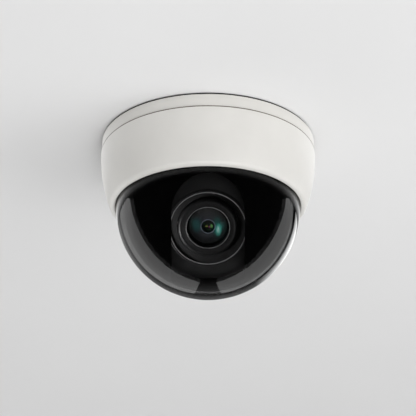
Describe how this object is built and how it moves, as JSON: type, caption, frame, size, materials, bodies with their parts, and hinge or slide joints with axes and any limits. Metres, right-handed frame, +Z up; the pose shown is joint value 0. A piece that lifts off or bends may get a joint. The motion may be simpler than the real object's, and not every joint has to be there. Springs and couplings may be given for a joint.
{
  "type": "ceiling dome security camera",
  "caption": "Round ceiling camera: cream-white push-on cover, smoked half-sphere dome, and inside it a pan and tilt mount with a black slotted liner and a zoom lens.",
  "frame": {"origin": "centre of the ceiling face, on the pan axis, at the ceiling plane", "axes": "+Z up into the ceiling along the pan axis; -Y is the front, where the lens points at rest; +X is the tilt axis"},
  "size_m": [0.13, 0.13, 0.1],
  "materials": {
    "housing_plastic": "satin cream-white",
    "base_plastic": "satin cream-white",
    "seal_rubber": "matt dark",
    "seam_rubber": "matt brown-grey",
    "smoked_dome": "smoked, clear, polished",
    "black_plastic": "fine matt black",
    "dark_plastic": "satin dark grey",
    "bearing_plastic": "natural acetal",
    "spring_steel": "bright",
    "plated_steel": "zinc plated",
    "silver_trim": "bright turned",
    "board_green": "green solder mask",
    "chip_black": "moulded epoxy",
    "ferrite": "dark ferrite",
    "socket_plastic": "natural nylon",
    "switch_plastic": "moulded black",
    "button_plastic": "moulded red",
    "brass_post": "nickel-free turned",
    "sensor_cover": "sensor under its cover glass",
    "lens_metal": "black anodised",
    "coated_glass": "coated lens glass",
    "filter_glass": "thin filter glass"
  },
  "bodies": {
    "base": {"mounting_base": "base_plastic", "mounting_gasket": "seal_rubber", "cable_grommet": "seal_rubber", "cover_seal": "seam_rubber", "snap_clips": "spring_steel", "power_board": "board_green", "board_screws": "plated_steel", "board_chips": "chip_black", "board_coils": "ferrite", "board_sockets": "socket_plastic", "reset_switch": "switch_plastic", "format_switch": "switch_plastic", "pan_friction_washer": "bearing_plastic", "pan_retaining_ring": "spring_steel", "pan_ring_screws": "plated_steel"},
    "cover": {"cover_shell": "housing_plastic", "dome_bubble": "smoked_dome", "dome_seal": "seal_rubber", "dome_retainer": "dark_plastic"},
    "reset_button": {"reset_button": "button_plastic"},
    "format_slider": {"format_slider": "socket_plastic"},
    "pan": {"pan_turntable": "dark_plastic", "yoke_arm_right": "dark_plastic", "yoke_arm_left": "dark_plastic", "yoke_screws": "plated_steel", "inner_liner": "black_plastic", "liner_screws": "plated_steel", "tilt_washers": "bearing_plastic"},
    "tilt": {"tilt_cradle": "dark_plastic", "tilt_pivots": "dark_plastic", "slot_shutter": "dark_plastic", "lens_bezel": "lens_metal"},
    "camera": {"lens_holder": "black_plastic", "roll_clip": "spring_steel", "sensor_board": "board_green", "processor_board": "board_green", "image_sensor": "sensor_cover", "sensor_screws": "plated_steel", "board_standoffs": "brass_post", "processor_screws": "plated_steel", "processor_chips": "chip_black", "stacking_connector": "socket_plastic", "filter_plate": "black_plastic", "filter_coil": "chip_black", "lens_barrel": "lens_metal", "index_ring": "lens_metal", "baffle_cone": "black_plastic", "inner_glass": "coated_glass", "glass_cell": "black_plastic", "iris_ring": "lens_metal", "rear_glass": "coated_glass", "rear_glass_cell": "black_plastic"},
    "ir_filter": {"filter_frame": "black_plastic", "filter_panes": "filter_glass"},
    "zoom": {"zoom_ring": "lens_metal", "zoom_lock_screw": "plated_steel"},
    "focus": {"focus_ring": "lens_metal", "front_ring": "silver_trim", "front_glass": "coated_glass", "focus_lock_screw": "plated_steel"}
  },
  "joints": [
    {"name": "cover_release", "type": "slide", "parent": "base", "child": "cover", "axis": [0, 0, -1], "range_m": [0, 0.095], "deforming": ["snap_clips"]},
    {"name": "reset_press", "type": "slide", "parent": "base", "child": "reset_button", "axis": [0, 0, 1], "range_m": [0, 0.0003], "stiffness_N_per_m": 200},
    {"name": "format_slide", "type": "slide", "parent": "base", "child": "format_slider", "axis": [0, 1, 0], "range_m": [0, 0.0021]},
    {"name": "pan", "type": "hinge", "parent": "base", "child": "pan", "pos_m": [0, 0, 0], "axis": [0, 0, 1], "range_deg": [-177, 177]},
    {"name": "tilt", "type": "hinge", "parent": "pan", "child": "tilt", "pos_m": [0, 0, -0.0445], "axis": [1, 0, 0], "range_deg": [-25, 40]},
    {"name": "roll", "type": "hinge", "parent": "tilt", "child": "camera", "pos_m": [0, 0, -0.0445], "axis": [0, -0.7071, -0.7071], "range_deg": [-90, 90]},
    {"name": "ir_filter_shift", "type": "slide", "parent": "camera", "child": "ir_filter", "axis": [-1, 0, 0], "range_m": [0, 0.006]},
    {"name": "zoom_turn", "type": "hinge", "parent": "camera", "child": "zoom", "pos_m": [0, 0, -0.0445], "axis": [0, -0.7071, -0.7071], "range_deg": [-50, 50]},
    {"name": "focus_turn", "type": "hinge", "parent": "camera", "child": "focus", "pos_m": [0, 0, -0.0445], "axis": [0, -0.7071, -0.7071], "range_deg": [-50, 50]}
  ]
}
